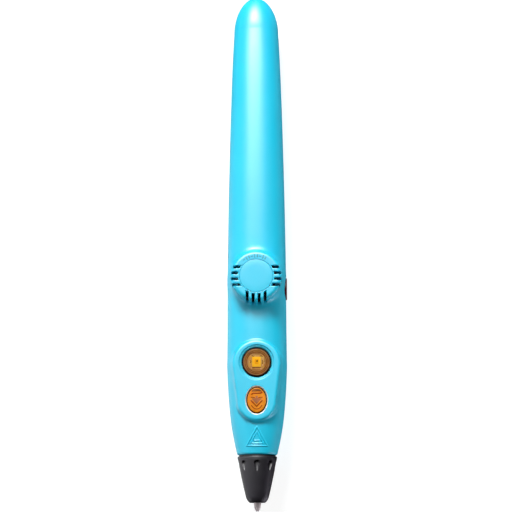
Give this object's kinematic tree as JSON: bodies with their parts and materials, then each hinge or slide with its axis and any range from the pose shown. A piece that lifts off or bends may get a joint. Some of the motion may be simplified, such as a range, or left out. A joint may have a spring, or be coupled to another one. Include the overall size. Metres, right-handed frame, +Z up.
{
  "type": "three d pen",
  "caption": "Handheld filament-extruding drawing pen with a tapered nozzle, raised button pad, slotted cooling hump and rounded battery end.",
  "frame": {"origin": "centre of the bounding box at the resting face", "axes": "+Y along the pen from the nozzle to the filament inlet, +Z up through the buttons, +X to the side button"},
  "size_m": [0.0218, 0.19, 0.0275],
  "materials": {
    "case_plastic": "satin moulded plastic",
    "cone_plastic": "satin black plastic",
    "nozzle_ceramic": "pale ceramic",
    "amber_plastic": "translucent amber",
    "side_amber": "translucent dark amber",
    "heat_plastic": "heat-resistant plastic",
    "brass": "turned",
    "element_ceramic": "fired ceramic",
    "sleeve_tape": "amber tape",
    "sensor_glass": "glass bead",
    "guide_tube": "low-friction tube",
    "circuit_board": "solder mask",
    "chip_black": "moulded package",
    "led_lens": "lens",
    "switch_black": "moulded",
    "chassis_plastic": "glass-filled plastic",
    "steel": "turned steel",
    "motor_metal": "plated can",
    "motor_cap": "moulded",
    "fan_black": "moulded",
    "cell_wrap": "shrink wrap",
    "lead_red": "insulation",
    "lead_white": "insulation"
  },
  "bodies": {
    "case": {"arm_spring": "steel", "back_shell": "case_plastic", "battery_cell": "cell_wrap", "battery_leads": "lead_red", "battery_tabs": "brass", "board_chips": "chip_black", "case_screws": "steel", "charge_board": "circuit_board", "charge_leads": "lead_red", "fan_frame": "fan_black", "feed_block": "chassis_plastic", "front_guide_tube": "guide_tube", "front_shell": "case_plastic", "gearbox_housing": "motor_metal", "heat_break_collar": "heat_plastic", "heater_core": "brass", "heater_element": "element_ceramic", "heater_leads": "lead_white", "inlet_ring": "case_plastic", "insulating_sleeve": "sleeve_tape", "main_board": "circuit_board", "motor_can": "motor_metal", "motor_end_cap": "motor_cap", "motor_leads": "lead_white", "nozzle_cone": "cone_plastic", "nozzle_tip": "nozzle_ceramic", "pivot_pin": "steel", "rear_guide_tube": "guide_tube", "side_board": "circuit_board", "side_switch": "switch_black", "status_led": "led_lens", "tact_switches": "switch_black", "temperature_sensor": "sensor_glass", "usb_socket": "steel", "vent_badge": "case_plastic"},
    "main_button_body": {"main_button": "amber_plastic", "main_plungers": "switch_black"},
    "small_button_body": {"small_button": "amber_plastic", "small_plunger": "switch_black"},
    "side_button_body": {"side_button": "side_amber", "side_plunger": "switch_black"},
    "fan_wheel": {"fan_rotor": "fan_black"},
    "feed_drive": {"feed_screw": "steel", "output_shaft": "steel"},
    "idler_arm": {"pressure_arm": "chassis_plastic", "idler_pin": "steel"},
    "idler_wheel": {"idler_roller": "steel"}
  },
  "joints": [
    {"name": "main_button_press", "type": "slide", "parent": "case", "child": "main_button_body", "axis": [0, 0, -1], "range_m": [0, 0.0004], "stiffness_N_per_m": 2500},
    {"name": "small_button_press", "type": "slide", "parent": "case", "child": "small_button_body", "axis": [0, 0, -1], "range_m": [0, 0.0004], "stiffness_N_per_m": 2500},
    {"name": "side_button_press", "type": "slide", "parent": "case", "child": "side_button_body", "axis": [-1, 0, 0], "range_m": [0, 0.00035], "stiffness_N_per_m": 2500},
    {"name": "fan_spin", "type": "hinge", "parent": "case", "child": "fan_wheel", "pos_m": [0, -0.01215, 0.0215], "axis": [0, 0, 1], "continuous": true},
    {"name": "feed_spin", "type": "hinge", "parent": "case", "child": "feed_drive", "pos_m": [0, -0.024, 0.0072], "axis": [0, 1, 0], "continuous": true},
    {"name": "idler_arm_lift", "type": "hinge", "parent": "case", "child": "idler_arm", "pos_m": [0, -0.0203, 0.0161], "axis": [-1, 0, 0], "range_deg": [0, 3], "stiffness_Nm_per_rad": 0.05, "deforming": ["arm_spring"]},
    {"name": "idler_spin", "type": "hinge", "parent": "idler_arm", "child": "idler_wheel", "pos_m": [0, -0.024, 0.0161], "axis": [1, 0, 0], "continuous": true}
  ],
  "couplings": [
    {"joint": "idler_spin", "follows": "feed_spin", "ratio": -0.05509}
  ]
}
